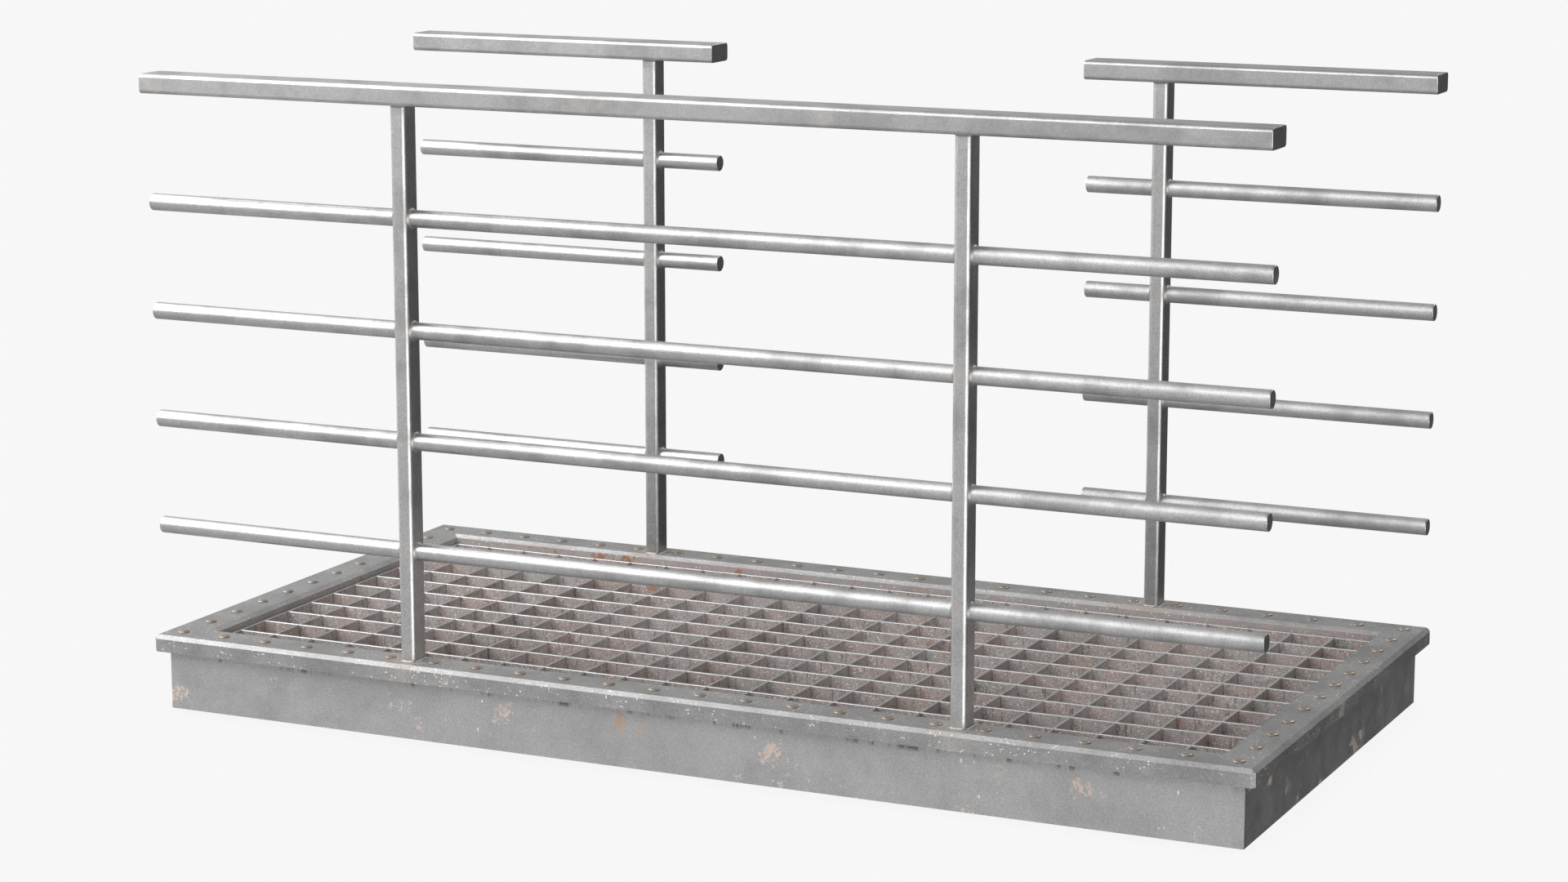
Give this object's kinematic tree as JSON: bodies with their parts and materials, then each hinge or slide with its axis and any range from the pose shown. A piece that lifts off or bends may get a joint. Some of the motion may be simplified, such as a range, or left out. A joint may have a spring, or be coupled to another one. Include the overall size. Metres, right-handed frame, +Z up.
{
  "type": "railed walkway platform",
  "caption": "Low steel walkway section: sunken egg-crate grating in a riveted sheet-steel border, with tall horizontal-bar guard rails along both long sides and a way in at the back",
  "frame": {"origin": "middle of the base, on the ground under the centre of the deck", "axes": "+X along the deck, +Y across it towards the side with the way in between the two short guard rails, +Z up"},
  "size_m": [2.39, 1.19, 1.325],
  "materials": {
    "galvanised": "satin galvanised steel, finely brushed and a little hammered, with faint tan rust patches",
    "edge_plate": "worn mid-grey steel plate with small pale chips and rust round the posts' feet",
    "skirt_sheet": "mottled blue-grey sheet with vertical streaks, drips and small rust patches",
    "grating_bar": "rosy-brown rusted flat bar with grey patches and bright worn top edges",
    "hidden_steel": "plain dark steel under the deck, lightly rusted",
    "rivet": "tan, lightly rusted domed rivet heads",
    "weld": "small grey fillet welds with rust tint"
  },
  "bodies": {
    "root": {"front_top_rail": "galvanised", "back_left_top_rail": "galvanised", "back_right_top_rail": "galvanised", "front_mid_rail_1": "galvanised", "front_mid_rail_2": "galvanised", "front_mid_rail_3": "galvanised", "front_mid_rail_4": "galvanised", "back_left_mid_rail_1": "galvanised", "back_left_mid_rail_2": "galvanised", "back_left_mid_rail_3": "galvanised", "back_left_mid_rail_4": "galvanised", "back_right_mid_rail_1": "galvanised", "back_right_mid_rail_2": "galvanised", "back_right_mid_rail_3": "galvanised", "back_right_mid_rail_4": "galvanised", "front_left_post": "galvanised", "front_right_post": "galvanised", "back_left_post": "galvanised", "back_right_post": "galvanised", "edge_cap_front": "edge_plate", "edge_cap_back": "edge_plate", "edge_cap_left": "edge_plate", "edge_cap_right": "edge_plate", "edge_beam_front": "hidden_steel", "edge_beam_back": "hidden_steel", "edge_beam_left": "hidden_steel", "edge_beam_right": "hidden_steel", "skirt_front": "skirt_sheet", "skirt_back": "skirt_sheet", "skirt_left": "skirt_sheet", "skirt_right": "skirt_sheet", "ledge_front": "hidden_steel", "ledge_back": "hidden_steel", "ledge_left": "hidden_steel", "ledge_right": "hidden_steel", "grating_bearer_left": "hidden_steel", "grating_bearer_middle": "hidden_steel", "grating_bearer_right": "hidden_steel", "grating_long_bar_1": "grating_bar", "grating_long_bar_2": "grating_bar", "grating_long_bar_3": "grating_bar", "grating_long_bar_4": "grating_bar", "grating_long_bar_5": "grating_bar", "grating_long_bar_6": "grating_bar", "grating_long_bar_7": "grating_bar", "grating_long_bar_8": "grating_bar", "grating_long_bar_9": "grating_bar", "grating_long_bar_10": "grating_bar", "grating_cross_bars": "grating_bar", "grating_rim": "grating_bar", "deck_rivets": "rivet", "rail_welds": "weld", "post_foot_welds": "weld", "post_head_welds": "weld", "round_end_plates": "galvanised", "top_rail_end_plates": "galvanised"}
  },
  "joints": []
}
